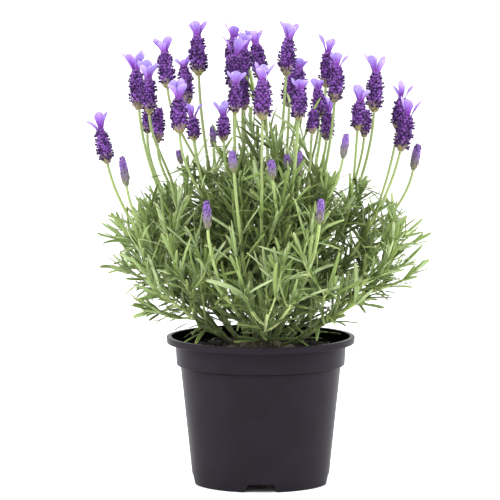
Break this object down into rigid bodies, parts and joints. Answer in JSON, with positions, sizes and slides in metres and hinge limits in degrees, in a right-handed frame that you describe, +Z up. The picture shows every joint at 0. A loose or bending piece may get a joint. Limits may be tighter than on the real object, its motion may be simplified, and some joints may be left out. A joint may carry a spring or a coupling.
{
  "type": "potted lavender plant",
  "caption": "Spanish lavender in flower in a round black nursery pot: purple spikes with lilac ears on bare stalks above a dome of narrow grey-green leaves.",
  "frame": {"origin": "on the pot's axis, in the plane that the pot's foot stands on; the middle of the model's box lies within 2.5 mm of it", "axes": "+Z up along the pot's axis, -Y the side shown at the front, +X to the right"},
  "size_m": [0.2709, 0.2093, 0.365],
  "materials": {
    "pot_plastic": "satin",
    "soil": "matte",
    "bark": "matte",
    "foliage": "matte",
    "flower": "matte"
  },
  "bodies": {
    "root": {"crown": "bark", "flower_head_01a": "flower", "flower_head_02a": "flower", "flower_head_02b": "flower", "flower_head_02c": "flower", "flower_head_02d": "flower", "flower_head_03a": "flower", "flower_head_03b": "flower", "flower_head_03c": "flower", "flower_head_03d": "flower", "flower_head_04a": "flower", "flower_head_05a": "flower", "flower_head_05b": "flower", "flower_head_05c": "flower", "flower_head_05d": "flower", "flower_head_07a": "flower", "flower_head_07b": "flower", "flower_head_08a": "flower", "flower_head_09a": "flower", "flower_head_10a": "flower", "flower_head_11a": "flower", "flower_head_11b": "flower", "flower_head_12a": "flower", "flower_head_13a": "flower", "flower_head_13b": "flower", "flower_head_13c": "flower", "flower_head_14a": "flower", "flower_head_14b": "flower", "flower_head_15a": "flower", "flower_head_15b": "flower", "flower_head_15c": "flower", "flower_head_16a": "flower", "flower_head_16b": "flower", "flowering_shoot_01": "foliage", "flowering_shoot_02": "foliage", "flowering_shoot_03": "foliage", "flowering_shoot_04": "foliage", "flowering_shoot_05": "foliage", "flowering_shoot_06": "foliage", "flowering_shoot_07": "foliage", "flowering_shoot_08": "foliage", "flowering_shoot_09": "foliage", "flowering_shoot_10": "foliage", "flowering_shoot_11": "foliage", "flowering_shoot_12": "foliage", "flowering_shoot_13": "foliage", "flowering_shoot_14": "foliage", "flowering_shoot_15": "foliage", "flowering_shoot_16": "foliage", "flowering_shoot_17": "foliage", "leafy_shoot_back": "foliage", "leafy_shoot_back_left": "foliage", "leafy_shoot_back_right": "foliage", "leafy_shoot_front": "foliage", "leafy_shoot_front_left": "foliage", "leafy_shoot_front_right": "foliage", "leafy_shoot_left": "foliage", "leafy_shoot_right": "foliage", "pot": "pot_plastic", "soil": "soil"}
  },
  "joints": []
}
